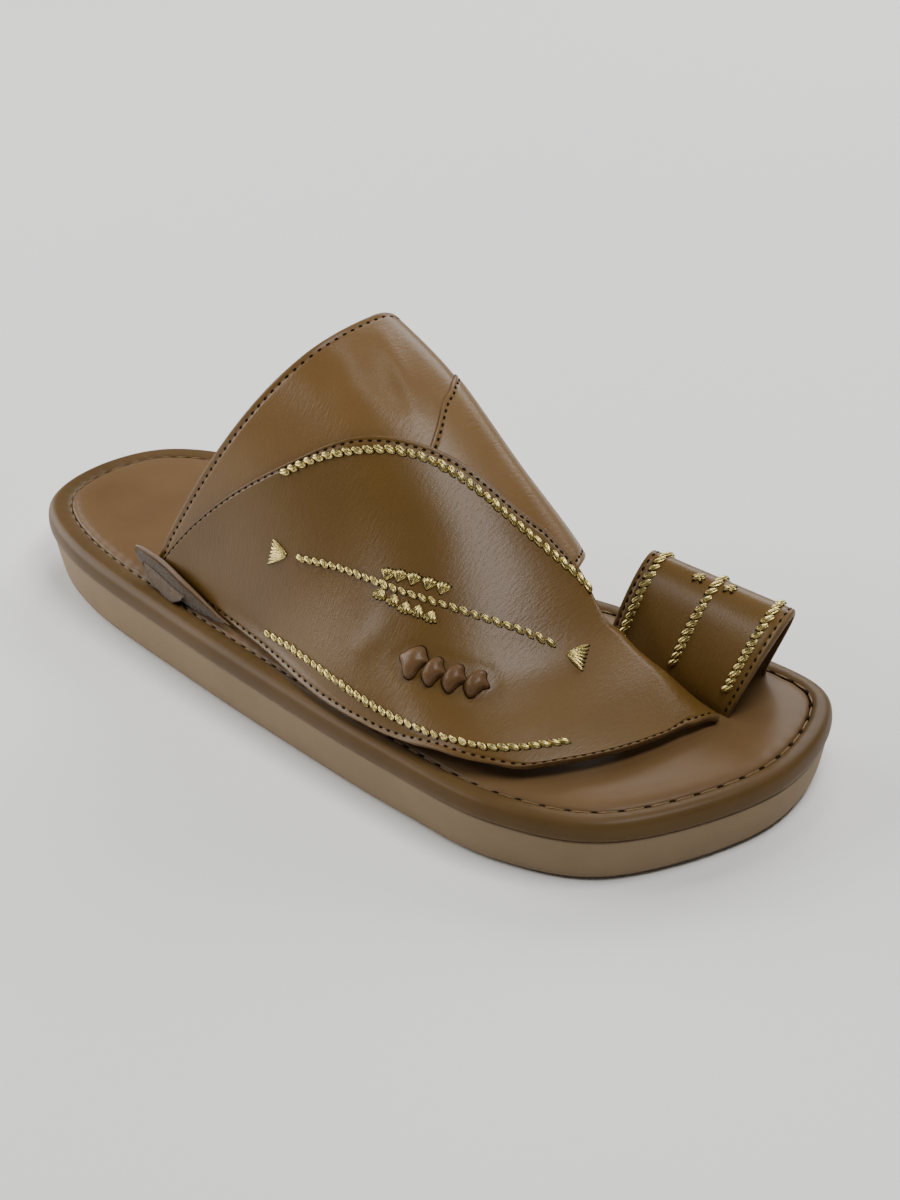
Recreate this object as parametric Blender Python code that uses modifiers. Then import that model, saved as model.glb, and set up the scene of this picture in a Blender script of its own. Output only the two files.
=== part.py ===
"""Toe-ring sandal for the right foot: flat wrapped sole, instep band, leaf vamp and big-toe ring.

The frame has +X from heel to toe, +Y to the big-toe side and +Z up, with the floor at zero.
Sizes in the tables are millimetres and become metres as the meshes are made.
"""
from collections import namedtuple

import bpy
import bmesh
import numpy as np
from mathutils import Matrix, Vector


def table(columns, *rows):
    """Rows with named columns."""
    row_type = namedtuple("Row", columns)
    return [row_type(*row) for row in rows]


MM = 0.001
SEAT_GAP = 0.3                     # clear space between pieces that meet
SHARP_ANGLE = np.radians(45.0)     # cut edges stay crisp past this

# Sole
SOLE_LENGTH = 285.0
RIM_TOP_HEEL = 23.8                # floor to the top of the wrapped rim at the back
RIM_TOP_TOE = 20.8
RIM_DEPTH = 6.8                    # height of the leather-wrapped edge
TOE_TIP_SIDE = 9.8                 # how far the foremost point lies to the big-toe side
OUTLINE_SAMPLES = 2000             # fine points from which the even ones are taken
SOLE_POINTS = 96                   # points round every ring of the sole
GROOVE_INSET_HEEL = 7.6            # edge of the sole to the stitch groove
GROOVE_INSET_TOE = 5.8
INSOLE_CROWN = 1.0                 # padding above the rim

# half widths of the sole's edge, to the little-toe side and to the big-toe side
SOLE_STATIONS = table(
    "from_heel lateral medial",
    (9.0, 25.0, 25.3),
    (40.0, 39.2, 39.3),
    (95.0, 46.5, 41.2),
    (150.0, 51.3, 41.0),
    (195.0, 53.8, 48.8),
    (238.0, 52.6, 54.2),
    (270.0, 35.5, 48.6),
)

# outsole wall from the floor up: share of its height, inset at the ends and along the sides
OUTSOLE_WALL = table(
    "height_share end_inset side_inset",
    (0.00, 7.4, 4.4),
    (0.07, 5.2, 3.2),
    (0.22, 3.8, 2.5),
    (0.60, 2.2, 1.7),
    (1.00, 0.9, 0.9),
)

# wrapped edge, from under its overhang round the roll to the groove's shoulder
RIM_ROLL = table(
    "inset below_top",
    (1.4, 6.8),
    (0.4, 6.2),
    (0.0, 4.6),
    (0.2, 2.4),
    (1.0, 1.0),
    (2.4, 0.2),
    (4.0, 0.0),
)

# stitch groove, from its shoulder down to the bed in which the insole lies
GROOVE = table(
    "past_groove below_top",
    (-0.8, 0.3),
    (0.0, 1.2),
    (0.4, 2.4),
)

# padded insole inside the groove: inset past the groove and height over the rim's top
INSOLE_EDGE = table(
    "past_groove over_rim",
    (1.6, -1.9),
    (0.8, -1.3),
    (1.3, -0.3),
    (3.4, 0.5),
    (8.0, INSOLE_CROWN),
)

# Upper: each station is an arch from the little-toe side over the instep to the big-toe side.
# lift is how far the free edge hovers, height is the crest over the insole.
UPPER_STATIONS = table(
    "x_lateral x_crest x_medial y_lateral y_crest y_medial lift height roundness",
    (-71.0, -15.0, -66.0, -31.0, 14.0, 31.0, 0.0, 82.5, 2.9),
    (-50.0, 11.0, -45.0, -32.0, 13.0, 30.5, 0.0, 71.5, 2.6),
    (-15.0, 36.0, -10.0, -36.3, 12.0, 30.0, 0.3, 53.0, 2.3),
    (22.0, 60.0, 30.0, -44.5, 11.0, 31.0, 0.3, 33.0, 2.1),
    (52.0, 80.0, 62.0, -47.2, 10.0, 17.1, 1.4, 16.0, 2.0),
    (72.0, 99.8, 91.0, -46.8, 8.7, 16.5, 2.9, 8.8, 2.0),
    (84.0, 113.6, 116.4, -44.2, 4.1, 15.2, 1.5, 2.1, 2.0),
)

# Panels of the upper, each between a back and a front edge. Stations count the rows above,
# and a turn runs from -1 at the little-toe side through the crest at 0 to 1.
EDGE_COLUMNS = "back_station back_turn front_station front_turn"
BAND_EDGES = table(
    EDGE_COLUMNS,
    (0.0, -1.0, 1.25, -1.0),
    (0.0, -0.6, 1.8, -0.6),
    (0.0, -0.3, 2.4, -0.3),
    (0.0, 0.0, 2.6, 0.0),
    (0.0, 0.3, 2.4, 0.3),
    (0.0, 0.6, 2.2, 0.6),
    (0.0, 1.0, 2.0, 1.0),
)
MEDIAL_EDGES = table(
    EDGE_COLUMNS,
    (1.76, -0.25, 3.2, -0.25),
    (1.445, -0.10, 3.27, -0.10),
    (1.19, 0.0, 3.25, 0.0),
    (1.07, 0.10, 3.18, 0.10),
    (0.95, 0.3, 3.08, 0.3),
    (0.85, 0.6, 2.9, 0.6),
    (0.75, 1.0, 2.6, 1.0),
)
LEAF_EDGES = table(
    EDGE_COLUMNS,
    (0.15, -1.0, 0.3, -1.0),
    (0.5, -0.79, 0.9, -1.0),
    (0.85, -0.56, 1.5, -1.0),
    (1.18, -0.3, 2.1, -1.0),
    (1.74, -0.12, 2.8, -1.0),
    (2.5, -0.03, 3.6, -1.0),
    (3.22, 0.06, 4.31, -1.0),
    (3.9, 0.06, 5.69, -0.79),
    (4.15, 0.5, 5.79, -0.5),
    (4.6, 0.95, 6.0, 0.2),
    (5.3, 1.0, 6.0, 0.4),
    (5.9, 1.0, 6.0, 0.8),
)

# layer is where a panel's inner face lies over the foot, front_layer where it lies past the
# panels under it, along and across count its samples
BAND, MEDIAL, LEAF = table(
    "edges layer front_layer wall along across",
    (BAND_EDGES, 0.0, 0.0, 2.4, 27, 9),
    (MEDIAL_EDGES, 1.2, 1.2, 1.8, 15, 9),
    (LEAF_EDGES, 1.4, 0.2, 2.4, 34, 12),
)
SETTLE_FROM = 3.3                  # stations between which a panel settles to its front layer
SETTLE_TO = 4.8
NORMAL_STEP = 0.02                 # step in station and turn that gives a panel's outward direction

# Toe ring: the feet and the crest of its arch at the back and at the front of the loop
RING_STATIONS = table(
    "x_lateral x_crest x_medial y_lateral y_crest y_medial height",
    (66.3, 72.1, 62.1, 20.4, 35.6, 42.0, 29.7),
    (115.0, 122.9, 106.2, 19.9, 37.4, 45.4, 28.4),
)
RING_WALL = 2.2
RING_ALONG = 9                     # samples from the back edge to the front
RING_AROUND = 25                   # samples from foot to foot

# Tab of folded leather that stands at the outer slot
TAB_STATIONS = table(
    "x y_inner y_outer height",
    (-84.0, -33.0, -34.2, 3.0),
    (-74.0, -35.4, -38.6, 7.5),
    (-60.0, -36.8, -40.8, 8.5),
    (-46.0, -37.6, -41.2, 6.0),
    (-35.0, -38.4, -39.8, 2.6),
)

TAB_CROWN = 0.5                    # rise of the rounded top
TAB_SHOULDER = 0.8                 # drop of the outer face under it
TAB_TUCK = 0.4                     # lift of the outer face's foot

# Woven strip: each diamond's station and turn on the leaf, half width and half length
DIAMONDS = table(
    "station turn half_width half_length",
    (3.34, -0.61, 4.9, 5.2),
    (3.52, -0.585, 4.6, 4.9),
    (3.70, -0.55, 4.6, 4.9),
    (3.89, -0.505, 4.8, 4.9),
)
DIAMOND_RISE = 3.0
DIAMOND_TOP = 0.3                  # share of the width left at the crown
DIAMOND_BEVEL = 0.6

FOAM, WRAP, SOCK, GLAZED, RAW = table(
    "name colour roughness",
    ("taupe_foam", (0.24, 0.165, 0.095), 0.75),
    ("wrapped_leather", (0.21, 0.125, 0.06), 0.45),
    ("insole_leather", (0.22, 0.13, 0.065), 0.5),
    ("glazed_leather", (0.17, 0.10, 0.038), 0.3),
    ("raw_leather_edge", (0.2, 0.15, 0.11), 0.9),
)
OBJECT_NAME = "toe_ring_sandal"


def smooth(rows, position):
    """Row values at fractional row numbers, on a smooth curve through the rows."""
    rows = np.asarray(rows, float)
    last = len(rows) - 1
    position = np.clip(np.asarray(position, float), 0, last)
    start = np.minimum(position.astype(int), last - 1)
    t = (position - start)[..., None]
    padded = np.vstack([2 * rows[0] - rows[1], rows, 2 * rows[-1] - rows[-2]])
    before, here, after, beyond = (padded[start + shift] for shift in range(4))
    linear = (after - before) * t
    square = (2 * before - 5 * here + 4 * after - beyond) * t ** 2
    cube = (3 * here - before - 3 * after + beyond) * t ** 3
    return here + 0.5 * (linear + square + cube)


def row_at(rows, position):
    """Named row of a table at fractional row numbers."""
    return rows[0]._make(np.moveaxis(smooth(rows, position), -1, 0))


def rim_top(x):
    """Height of the wrapped rim, which falls a little from heel to toe."""
    share = x / SOLE_LENGTH + 0.5
    return RIM_TOP_HEEL + (RIM_TOP_TOE - RIM_TOP_HEEL) * share


def insole_top(x):
    return rim_top(x) + INSOLE_CROWN


def groove_inset(x):
    share = x / SOLE_LENGTH + 0.5
    return GROOVE_INSET_HEEL + (GROOVE_INSET_TOE - GROOVE_INSET_HEEL) * share


def sole_outline():
    """Evenly spaced points round the sole's edge and their outward directions."""
    lateral = [(row.from_heel, -row.lateral) for row in SOLE_STATIONS]
    medial = [(row.from_heel, row.medial) for row in SOLE_STATIONS]
    loop = [(0.0, 0.0), *lateral, (SOLE_LENGTH, TOE_TIP_SIDE), *reversed(medial)]
    wrapped = loop[-3:] + loop + loop[:4]
    fine = smooth(wrapped, np.linspace(3, 3 + len(loop), OUTLINE_SAMPLES))
    run = np.r_[0, np.cumsum(np.linalg.norm(np.diff(fine, axis=0), axis=1))]
    even = np.linspace(0, run[-1], SOLE_POINTS, endpoint=False)
    points = np.c_[np.interp(even, run, fine[:, 0]), np.interp(even, run, fine[:, 1])]
    tangent = np.roll(points, -1, axis=0) - np.roll(points, 1, axis=0)
    outward = np.c_[tangent[:, 1], -tangent[:, 0]]
    outward /= np.linalg.norm(outward, axis=1)[:, None]
    points[:, 0] -= SOLE_LENGTH / 2
    return points, outward


def sole_ring(inset, height):
    """The sole's outline moved inwards, at a height for each point."""
    points, outward = sole_outline()
    inset = np.broadcast_to(inset, len(points))
    moved = points - outward * inset[:, None]
    return np.c_[moved, height(moved[:, 0])]


def link(obj, collection, material):
    collection.objects.link(obj)
    obj.data.materials.append(material)
    obj.data.shade_smooth()
    obj.data.set_sharp_from_angle(angle=SHARP_ANGLE)
    return obj


def plain_material(row):
    """A plain surface of one colour."""
    material = bpy.data.materials.new(row.name)
    material.use_nodes = True
    shader = material.node_tree.nodes["Principled BSDF"]
    shader.inputs["Base Color"].default_value = (*row.colour, 1.0)
    shader.inputs["Roughness"].default_value = row.roughness
    shader.inputs["Metallic"].default_value = 0.0
    return material


def closed_loft(name, rings):
    """Closed mesh through rings of equally many points, with flat caps at both ends."""
    mesh = bmesh.new()
    loops = [[mesh.verts.new(Vector(point) * MM) for point in ring] for ring in rings]
    count = len(loops[0])
    for low, high in zip(loops, loops[1:]):
        for i in range(count):
            j = (i + 1) % count
            mesh.faces.new((low[i], low[j], high[j], high[i]))
    mesh.faces.new(loops[0][::-1])
    mesh.faces.new(loops[-1])
    bmesh.ops.recalc_face_normals(mesh, faces=mesh.faces)
    data = bpy.data.meshes.new(name)
    mesh.to_mesh(data)
    mesh.free()
    return bpy.data.objects.new(name, data)


def sheet(name, inner, outer):
    """Closed leather sheet between two grids of points, with its cut edges all round."""
    rows, columns = inner.shape[:2]
    mesh = bmesh.new()
    skins = []
    for grid in (inner, outer):
        skins.append([[mesh.verts.new(Vector(point) * MM) for point in row] for row in grid])
    for i in range(rows - 1):
        for j in range(columns - 1):
            corners = ((i, j), (i + 1, j), (i + 1, j + 1), (i, j + 1))
            mesh.faces.new([skins[0][r][c] for r, c in corners])
            mesh.faces.new([skins[1][r][c] for r, c in reversed(corners)])
    border = [(i, 0) for i in range(rows)]
    border += [(rows - 1, j) for j in range(1, columns)]
    border += [(i, columns - 1) for i in range(rows - 2, -1, -1)]
    border += [(0, j) for j in range(columns - 2, 0, -1)]
    for (r, c), (r2, c2) in zip(border, border[1:] + border[:1]):
        mesh.faces.new((skins[0][r][c], skins[0][r2][c2], skins[1][r2][c2], skins[1][r][c]))
    bmesh.ops.recalc_face_normals(mesh, faces=mesh.faces)
    data = bpy.data.meshes.new(name)
    mesh.to_mesh(data)
    mesh.free()
    return bpy.data.objects.new(name, data)


def wall_top(x):
    """Height of the outsole's wall, just under the wrapped rim."""
    return rim_top(x) - RIM_DEPTH - SEAT_GAP


def outsole():
    """Foam unit under the wrapped rim: flat tread, wall that tapers in at heel and toe."""
    _, outward = sole_outline()
    endness = np.abs(outward[:, 0])
    rings = []
    for step in OUTSOLE_WALL:
        inset = step.side_inset + (step.end_inset - step.side_inset) * endness
        rings.append(sole_ring(inset, lambda x, step=step: step.height_share * wall_top(x)))
    return closed_loft("outsole", rings)


def footbed():
    """Leather-wrapped board with a rolled edge and a shallow bed for the insole."""
    points, _ = sole_outline()
    groove = groove_inset(points[:, 0])
    rings = []
    for step in RIM_ROLL:
        rings.append(sole_ring(step.inset, lambda x, step=step: rim_top(x) - step.below_top))
    for step in GROOVE:
        inset = groove + step.past_groove
        rings.append(sole_ring(inset, lambda x, step=step: rim_top(x) - step.below_top))
    return closed_loft("footbed", rings)


def insole():
    """Padded sock that lies in the footbed's bed and rises a little over the rim."""
    points, _ = sole_outline()
    groove = groove_inset(points[:, 0])
    rings = []
    for step in INSOLE_EDGE:
        inset = groove + step.past_groove
        rings.append(sole_ring(inset, lambda x, step=step: rim_top(x) + step.over_rim))
    return closed_loft("insole", rings)


def arch_point(station, turn):
    """Point on the foot side of the upper at a station and a turn round its arch."""
    row = row_at(UPPER_STATIONS, station)
    power = 2 / row.roundness
    angle = turn * np.pi / 2
    out = np.abs(np.sin(angle)) ** power
    up = np.abs(np.cos(angle)) ** power
    medial = turn > 0
    x_side = np.where(medial, row.x_medial, row.x_lateral)
    y_side = np.where(medial, row.y_medial, row.y_lateral)
    lift = np.where(medial, 0.0, row.lift) + SEAT_GAP
    x = x_side + (row.x_crest - x_side) * up
    y = row.y_crest + (y_side - row.y_crest) * out
    z = insole_top(x) + lift + (row.height - lift) * up
    return np.stack([x, y, z], axis=-1)


def arch_normal(station, turn):
    """Outward direction of the arch, from two short steps along it and never downwards."""
    step = NORMAL_STEP
    station = np.clip(station, step, len(UPPER_STATIONS) - 1 - step)
    turn = np.clip(turn, -1 + 1.5 * step, 1 - 1.5 * step)
    along = arch_point(station + step, turn) - arch_point(station - step, turn)
    round_arch = arch_point(station, turn + step) - arch_point(station, turn - step)
    normal = np.cross(along, round_arch)
    normal[..., 2] = np.maximum(normal[..., 2], 0.0)
    return normal / np.linalg.norm(normal, axis=-1)[..., None]


def layer_at(piece, station):
    """Height of a panel's inner face over the foot, which settles past the panels under it."""
    share = np.clip((station - SETTLE_FROM) / (SETTLE_TO - SETTLE_FROM), 0, 1)
    eased = share * share * (3 - 2 * share)
    return piece.layer + (piece.front_layer - piece.layer) * eased


def panel(name, piece):
    """Leather panel between its back and front edges, as a sheet with a wall."""
    edge = row_at(piece.edges, np.linspace(0, len(piece.edges) - 1, piece.along)[:, None])
    share = np.linspace(0, 1, piece.across)[None, :]
    station = edge.back_station * (1 - share) + edge.front_station * share
    turn = np.clip(edge.back_turn * (1 - share) + edge.front_turn * share, -1.0, 1.0)
    foot_side = arch_point(station, turn)
    normal = arch_normal(station, turn)
    inner = foot_side + layer_at(piece, station)[..., None] * normal
    return sheet(name, inner, inner + piece.wall * normal)


def join(target, others, cutters):
    """Boolean union of panels that overlap by part of their wall."""
    for other in others:
        other.hide_render = True
        other.display_type = "WIRE"
        other.data.shade_smooth()
        other.data.set_sharp_from_angle(angle=SHARP_ANGLE)
        cutters.objects.link(other)
        union = target.modifiers.new("join_" + other.name, "BOOLEAN")
        union.operation = "UNION"
        union.solver = "EXACT"
        union.object = other
    return target


def upper(cutters):
    """Instep band, medial panel and leaf vamp, joined where they cross."""
    overlays = [panel("medial_panel_form", MEDIAL), panel("leaf_form", LEAF)]
    return join(panel("upper", BAND), overlays, cutters)


def ring_surface(shrink):
    """Grid of the toe loop's arch, moved inwards by part of its wall."""
    row = row_at(RING_STATIONS, np.linspace(0, len(RING_STATIONS) - 1, RING_ALONG)[:, None])
    angle = np.linspace(-np.pi / 2, np.pi / 2, RING_AROUND)[None, :]
    x_middle = (row.x_lateral + row.x_medial) / 2
    y_middle = (row.y_lateral + row.y_medial) / 2
    x_half = row.x_medial - x_middle
    y_half = row.y_medial - y_middle
    out = np.sin(angle) * (1 - shrink / np.hypot(x_half, y_half))
    up = np.cos(angle)
    x = x_middle + x_half * out + (row.x_crest - x_middle) * up
    y = y_middle + y_half * out + (row.y_crest - y_middle) * up
    z = insole_top(x) + SEAT_GAP + (row.height - shrink) * up
    return np.stack([x, y, z], axis=-1)


def toe_ring():
    """Loop for the big toe, an arch that leans forward and turns a little to the big-toe side."""
    return sheet("toe_ring", ring_surface(RING_WALL), ring_surface(0.0))


def side_tab():
    """Folded tab beside the outer slot, thickest in the middle and rounded on top."""
    rings = []
    for row in TAB_STATIONS:
        low = rim_top(row.x) + SEAT_GAP
        high = low + row.height
        rings.append((
            (row.x, row.y_inner, low),
            (row.x, row.y_inner, high),
            (row.x, (row.y_inner + row.y_outer) / 2, high + TAB_CROWN),
            (row.x, row.y_outer, high - TAB_SHOULDER),
            (row.x, row.y_outer, low + TAB_TUCK),
        ))
    return closed_loft("side_tab", rings)


def diamond(row):
    """One raised leather diamond, seated on the leaf."""
    mesh = bmesh.new()
    bmesh.ops.create_cone(mesh, cap_ends=True, segments=4, radius1=1.0, radius2=DIAMOND_TOP,
                          depth=DIAMOND_RISE * MM)
    bmesh.ops.scale(mesh, vec=(row.half_width * MM, row.half_length * MM, 1.0), verts=mesh.verts)
    data = bpy.data.meshes.new("diamond")
    mesh.to_mesh(data)
    mesh.free()
    knot = bpy.data.objects.new("diamond_form", data)
    up = Vector(arch_normal(row.station, row.turn))
    first, last = DIAMONDS[0], DIAMONDS[-1]
    strip = arch_point(last.station, last.turn) - arch_point(first.station, first.turn)
    side = up.cross(Vector(strip)).normalized()
    along = side.cross(up)
    rise = layer_at(LEAF, row.station) + LEAF.wall + SEAT_GAP + DIAMOND_RISE / 2
    centre = Vector(arch_point(row.station, row.turn)) + up * rise
    turned = Matrix((along, side, up)).transposed().to_4x4()
    knot.matrix_world = Matrix.Translation(centre * MM) @ turned
    soft = knot.modifiers.new("soft_edges", "BEVEL")
    soft.width = DIAMOND_BEVEL * MM
    soft.segments = 2
    return knot


def woven_strip(cutters):
    """Strip of leather woven through the leaf so that it stands up as a row of diamonds."""
    first, *others = [diamond(row) for row in DIAMONDS]
    first.name = "woven_strip"
    return join(first, others, cutters)


def main():
    for old in list(bpy.data.objects):
        bpy.data.objects.remove(old)
    parts = bpy.data.collections.new(OBJECT_NAME)
    cutters = bpy.data.collections.new("joined_forms")
    bpy.context.scene.collection.children.link(parts)
    bpy.context.scene.collection.children.link(cutters)
    glazed = plain_material(GLAZED)
    link(outsole(), parts, plain_material(FOAM))
    link(footbed(), parts, plain_material(WRAP))
    link(insole(), parts, plain_material(SOCK))
    link(upper(cutters), parts, glazed)
    link(toe_ring(), parts, glazed)
    link(side_tab(), parts, plain_material(RAW))
    link(woven_strip(cutters), parts, glazed)


main()
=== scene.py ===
"""Looks of the toe-ring sandal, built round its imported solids.

Sizes are millimetres in the solids' frame: +X from heel to toe, +Y to the big-toe side, +Z up.
"""
from collections import namedtuple

import bpy
import numpy as np
from mathutils import Matrix, Vector


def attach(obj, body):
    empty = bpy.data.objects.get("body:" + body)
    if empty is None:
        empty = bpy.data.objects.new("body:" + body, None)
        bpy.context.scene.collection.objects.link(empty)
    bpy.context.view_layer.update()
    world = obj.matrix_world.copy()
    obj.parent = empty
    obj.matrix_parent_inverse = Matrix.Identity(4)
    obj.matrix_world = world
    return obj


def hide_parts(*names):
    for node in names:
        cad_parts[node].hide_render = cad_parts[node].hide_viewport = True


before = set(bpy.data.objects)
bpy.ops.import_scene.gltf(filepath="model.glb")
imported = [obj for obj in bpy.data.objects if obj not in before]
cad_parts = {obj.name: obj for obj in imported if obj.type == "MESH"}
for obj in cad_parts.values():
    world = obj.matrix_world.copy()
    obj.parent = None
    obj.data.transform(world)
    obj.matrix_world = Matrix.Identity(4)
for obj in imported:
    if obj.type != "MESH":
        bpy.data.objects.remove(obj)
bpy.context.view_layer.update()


def table(columns, *rows):
    """Rows with named columns."""
    row_type = namedtuple("Row", columns)
    return [row_type(*row) for row in rows]


MM = 0.001
RANDOM = np.random.default_rng(11)
FINE = 240  # samples of a curve before it is spaced in millimetres
LOOK_AHEAD = 0.2  # half the step from which a line's direction is taken

# Sole, as in the solids: a pair of values is for the heel and the toe
SOLE_LENGTH = 285.0
RIM_TOP = (23.8, 20.8)
RIM_DEPTH = 6.8
TOE_TIP_SIDE = 9.8
OUTLINE_SAMPLES = 4000
SOLE_POINTS = 900
GROOVE_INSET = (7.6, 5.8)
INSOLE_CROWN = 1.0
SEAT_GAP = 0.3

SOLE_STATIONS = table(
    "from_heel lateral medial",
    (9.0, 25.0, 25.3),
    (40.0, 39.2, 39.3),
    (95.0, 46.5, 41.2),
    (150.0, 51.3, 41.0),
    (195.0, 53.8, 48.8),
    (238.0, 52.6, 54.2),
    (270.0, 35.5, 48.6),
)
OUTSOLE_WALL = table(
    "height_share end_inset side_inset",
    (0.00, 7.4, 4.4),
    (0.07, 5.2, 3.2),
    (0.22, 3.8, 2.5),
    (0.60, 2.2, 1.7),
    (1.00, 0.9, 0.9),
)
RIM_ROLL = table(
    "inset below_top",
    (1.4, 6.8),
    (0.4, 6.2),
    (0.0, 4.6),
    (0.2, 2.4),
    (1.0, 1.0),
    (2.4, 0.2),
    (4.0, 0.0),
)
GROOVE = table(
    "past_groove below_top",
    (-1.0, 0.25),
    (-0.3, 0.8),
    (0.1, 1.7),
    (0.6, 2.4),
)
INSOLE_EDGE = table(
    "past_groove over_rim",
    (1.6, -2.0),
    (0.5, -1.7),
    (0.6, -0.9),
    (1.5, -0.1),
    (3.4, 0.5),
    (8.0, INSOLE_CROWN),
)
SOLE_GAP = 0.05  # between the outsole and the rim over it
OUTSOLE_RINGS = 26
RIM_RINGS = 34
GROOVE_RINGS = 12
INSOLE_RINGS = 20
CROWN_RINGS = 18  # rings from the insole's edge to its middle line
SPINE_ENDS = (-96.0, 98.0)  # ends of the insole's middle line
SPINE_SWING = 0.06  # how far its front half swings to the big toe, per millimetre

# Stitches in the groove: spacing along the sides and round the toe, and where it changes along X
GROOVE_STITCH = (5.4, 7.6)
WIDER_STITCHES = (20.0, 80.0)
PUCKER_PULL = (0.14, 0.12)  # pull of each stitch on the rim and the insole
PUCKER_REACH = 1.6
RIM_PUCKER = 0.5  # share of the pull that the rolled rim takes
RIM_PUCKER_GROWS = (2.0, 4.0)  # insets over which it grows
INSOLE_PUCKER_GROWS = (4.0, 1.0)  # distances past the groove over which the insole's grows
SLOT_HALF = (1.2, 0.8, 0.5)  # half sizes of the dark dome of painted shade at a needle slot in the groove
SLOT_HEEL = 0.25  # share of that size at the heel
SEAM_OUT = 0.1  # the seam's line, out from the groove's line and below the rim
SEAM_BELOW = 0.75
SEAM_SINK = 0.35  # how far the seam is drawn under the leather at the heel
SEAM_SHOWS = 0.4  # where it has come up, as a share from heel to toe
GROOVE_THREAD = (0.3, 0.25)  # half width and half height of the thread between two slots
GROOVE_THREAD_GAP = 0.9  # from a slot's middle to the thread's end
GROOVE_DEPTH = (0.4, 0.85)  # depth of the groove as a share of its depth in the solids

# Upper, as in the solids: arches from the little-toe side over the instep
UPPER_STATIONS = table(
    "x_lateral x_crest x_medial y_lateral y_crest y_medial lift height roundness",
    (-71.0, -15.0, -66.0, -31.0, 14.0, 31.0, 0.0, 82.5, 2.9),
    (-50.0, 11.0, -45.0, -32.0, 13.0, 30.5, 0.0, 71.5, 2.6),
    (-15.0, 36.0, -10.0, -36.3, 12.0, 30.0, 0.3, 53.0, 2.3),
    (22.0, 60.0, 30.0, -44.5, 11.0, 31.0, 0.3, 33.0, 2.1),
    (52.0, 80.0, 62.0, -47.2, 10.0, 17.1, 1.4, 16.0, 2.0),
    (72.0, 99.8, 91.0, -46.8, 8.7, 16.5, 2.9, 8.8, 2.0),
    (84.0, 113.6, 116.4, -44.2, 4.1, 15.2, 1.5, 2.1, 2.0),
)
EDGE_COLUMNS = "back_station back_turn front_station front_turn"
BAND_EDGES = table(
    EDGE_COLUMNS,
    (0.0, -1.0, 1.25, -1.0),
    (0.0, -0.6, 1.8, -0.6),
    (0.0, -0.3, 2.4, -0.3),
    (0.0, 0.0, 2.6, 0.0),
    (0.1, 0.3, 2.4, 0.3),
    (0.0, 0.6, 2.2, 0.6),
    (0.0, 1.0, 2.0, 1.0),
)
MEDIAL_EDGES = table(
    EDGE_COLUMNS,
    (1.76, -0.25, 3.2, -0.25),
    (1.445, -0.10, 3.27, -0.10),
    (1.19, 0.0, 3.25, 0.0),
    (1.07, 0.10, 3.18, 0.10),
    (0.95, 0.3, 3.08, 0.3),
    (0.85, 0.6, 2.9, 0.6),
    (0.75, 1.0, 2.6, 1.0),
)
LEAF_EDGES = table(
    EDGE_COLUMNS,
    (0.15, -1.0, 0.3, -1.0),
    (0.5, -0.79, 0.9, -1.0),
    (0.85, -0.56, 1.5, -1.0),
    (1.18, -0.3, 2.1, -1.0),
    (1.74, -0.12, 2.8, -1.0),
    (2.5, -0.03, 3.6, -1.0),
    (3.22, 0.06, 4.31, -1.0),
    (3.9, 0.06, 5.69, -0.79),
    (4.15, 0.5, 5.79, -0.5),
    (4.6, 0.95, 6.0, 0.2),
    (5.3, 1.0, 6.0, 0.4),
    (5.9, 1.0, 6.0, 0.8),
)
NORMAL_STEP = 0.02

# layer is where the inner face lies over the foot, front_layer where it lies past the panels under
# it, rows and columns count samples away from the edges
BAND, MEDIAL, LEAF = table(
    "edges layer front_layer wall rows columns",
    (BAND_EDGES, 0.0, 0.0, 2.4, 150, 60),
    (MEDIAL_EDGES, 1.2, 1.2, 1.8, 90, 50),
    (LEAF_EDGES, 1.4, 0.2, 2.4, 170, 80),
)
SETTLES = (3.3, 4.8)  # stations between which the leaf comes down to front_layer

# Cut edges: samples from the edge inwards, and the rounding of the painted edge
EDGE_STEPS = np.array([0.0, 0.03, 0.12, 0.3, 0.55, 0.85, 1.2, 1.7, 2.1, 2.4, 2.7, 3.0, 3.3, 3.9])
EDGE_WIDEST = 0.45  # most that each edge's samples take of a narrow sheet's width
EDGE_ROUND = 0.8
EDGE_POWER = 2.4
PAINTED_EDGE = 0.5  # how far the paint runs over the face
STITCH_TROUGH = 0.3
STITCH_TROUGH_HALF = 0.55
NEEDLE_HALF = (0.78, 0.50, 0.45)  # half sizes of the dark dome of painted shade at a needle hole
SEAM_THREAD = (0.3, 0.1)  # half width and half height of the thread between two holes
SEAM_THREAD_GAP = 0.75  # from a hole's middle to the thread's end
SEAM_ROOM = 0.95  # least room beside a seam, as a share of its inset
HEM_FLARE = 1.3  # how far the leaf's lower edge leans out, and drops
HEM_DROP = 0.45
HEM_START = 0.94  # where it begins, as a share across the leaf
HEM_GROWS = (1.2, 2.0)  # stations over which it grows and fades
HEM_FADES = (5.6, 5.1)
LEAF_FOLD_START = 0.57  # where the leaf's upper edge folds down, as a share along it
BAND_SEAM, MEDIAL_SEAM, LEAF_UPPER_SEAM, LEAF_LOWER_SEAM, RING_SEAM = table(
    "inset first last until",  # pitches of the holes at the first and the last end
    (2.1, 3.3, 2.5, 1.0),
    (2.1, 2.4, 2.4, 1.0),
    (1.7, 3.4, 1.9, LEAF_FOLD_START),
    (1.7, 3.6, 2.4, 1.0),
    (1.7, 2.5, 2.5, 1.0),
)
FOOT_TUCK = 1.6  # how far a strap's end reaches down into the insole
TUCK_SHARE = 0.02  # share of the strap's length that is drawn down
FOLD_SAMPLES = 40

# Toe ring, as in the solids
RING_STATIONS = table(
    "x_lateral x_crest x_medial y_lateral y_crest y_medial height",
    (66.3, 72.1, 62.1, 20.4, 35.6, 42.0, 29.7),
    (115.0, 122.9, 106.2, 19.9, 37.4, 45.4, 28.4),
)
RING_WALL = 2.2
RING_ROWS = 110
RING_COLUMNS = 50

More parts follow.
